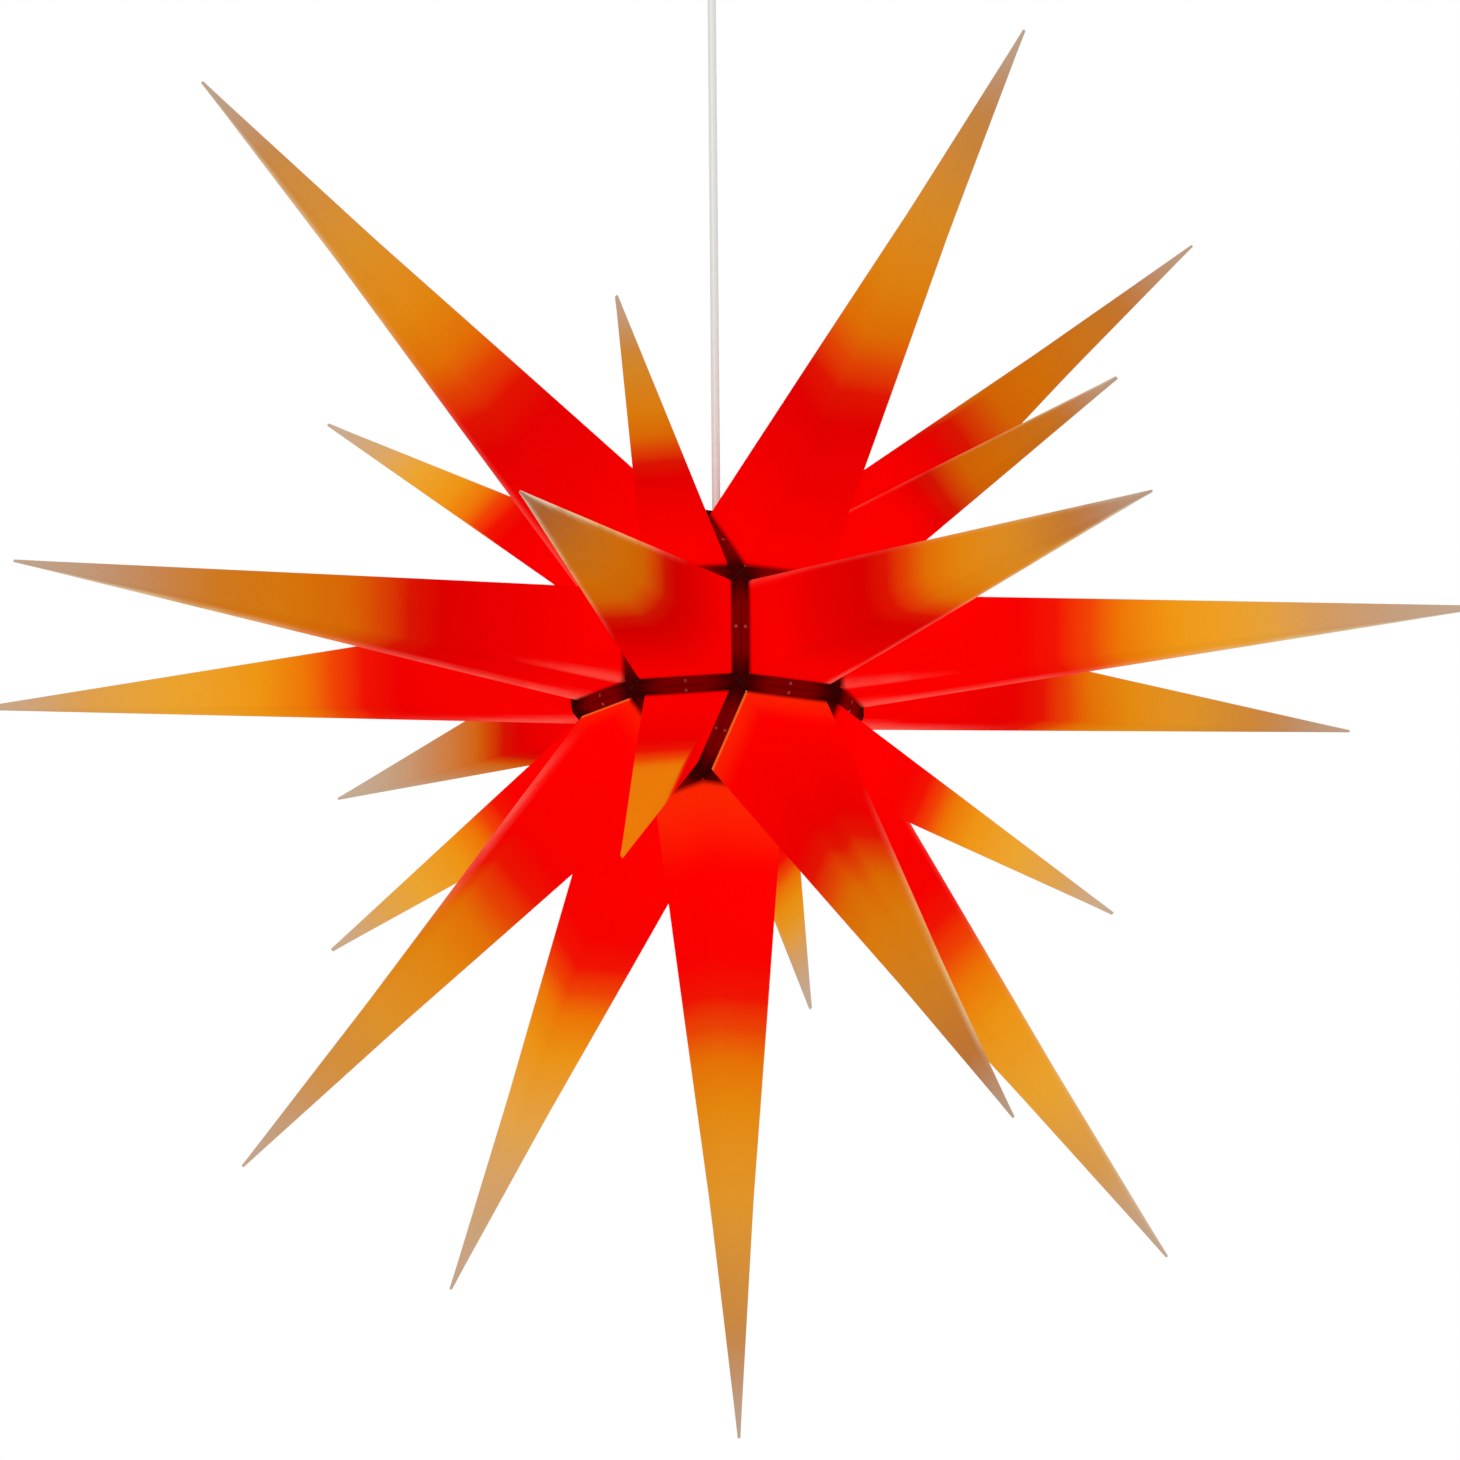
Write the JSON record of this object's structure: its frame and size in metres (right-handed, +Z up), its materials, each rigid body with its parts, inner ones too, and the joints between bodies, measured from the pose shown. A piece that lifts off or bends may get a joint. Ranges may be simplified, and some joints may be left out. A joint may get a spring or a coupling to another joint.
{
  "type": "moravian star pendant",
  "caption": "Pendant lamp: a many-pointed folded-paper star lit from inside, hanging on a cord from a ball-jointed ceiling canopy.",
  "frame": {"origin": "middle of the ceiling bracket's top face, on the ceiling", "axes": "+Z up, normal to the ceiling; +X along the bracket, through both ceiling slots; -Y towards the star's front point"},
  "size_m": [0.703, 0.7, 0.7277],
  "materials": {
    "star_paper": "matte, translucent, red fading to orange yellow and tan at the tips, lit from inside",
    "collar_card": "matte",
    "clip_brass": "satin",
    "hanger_steel": "satin",
    "lampholder_plastic": "satin",
    "contact_brass": "satin",
    "white_plastic": "satin",
    "cord_sheath": "soft satin",
    "bulb_cap_metal": "satin",
    "bulb_housing_plastic": "matte",
    "bulb_globe_opal": "opal",
    "canopy_plastic": "gloss",
    "bracket_steel": "zinc plated",
    "screw_steel": "plated",
    "block_plastic": "satin",
    "lead_insulation": "satin"
  },
  "bodies": {
    "ceiling": {"ceiling_canopy": "canopy_plastic", "ceiling_bracket": "bracket_steel", "canopy_screws": "screw_steel", "terminal_block": "block_plastic", "supply_leads": "lead_insulation"},
    "sleeve": {"cord_sleeve": "white_plastic", "cord_core": "cord_sheath"},
    "cord": {"pendant_cord": "cord_sheath", "cord_grip": "white_plastic", "lampholder_cap": "lampholder_plastic", "lampholder_skirt": "lampholder_plastic", "lampholder_contacts": "contact_brass"},
    "star": {"point_ring_front": "star_paper", "point_ring_front_right": "star_paper", "point_ring_right": "star_paper", "point_ring_back_right": "star_paper", "point_ring_back": "star_paper", "point_ring_back_left": "star_paper", "point_ring_left": "star_paper", "point_ring_front_left": "star_paper", "point_upper_front": "star_paper", "point_upper_front_right": "star_paper", "point_upper_right": "star_paper", "point_upper_back_right": "star_paper", "point_upper_back": "star_paper", "point_upper_back_left": "star_paper", "point_upper_left": "star_paper", "point_upper_front_left": "star_paper", "point_lower_front": "star_paper", "point_lower_front_right": "star_paper", "point_lower_right": "star_paper", "point_lower_back_right": "star_paper", "point_lower_back": "star_paper", "point_lower_back_left": "star_paper", "point_lower_left": "star_paper", "point_lower_front_left": "star_paper", "point_bottom": "star_paper", "collars_ring": "collar_card", "collars_upper_square": "collar_card", "collars_upper_triangle": "collar_card", "collars_lower_square": "collar_card", "collars_lower_triangle": "collar_card", "collar_bottom": "collar_card", "seam_clips": "clip_brass", "wire_hanger": "hanger_steel"},
    "bulb": {"bulb_screw_cap": "bulb_cap_metal", "bulb_housing": "bulb_housing_plastic", "bulb_globe": "bulb_globe_opal"}
  },
  "joints": [
    {"name": "swing_front_back", "type": "hinge", "parent": "ceiling", "child": "sleeve", "pos_m": [0, 0, -0.017], "axis": [1, 0, 0], "range_deg": [-15, 15]},
    {"name": "swing_side", "type": "hinge", "parent": "sleeve", "child": "cord", "pos_m": [0, 0, -0.049], "axis": [0, 1, 0], "range_deg": [-15, 15]},
    {"name": "star_turn", "type": "hinge", "parent": "cord", "child": "star", "pos_m": [0, 0, -0.3191], "axis": [0, 0, 1], "continuous": true},
    {"name": "bulb_unscrew", "type": "slide", "parent": "cord", "child": "bulb", "axis": [0, 0, -1], "range_m": [0, 0.012]}
  ]
}
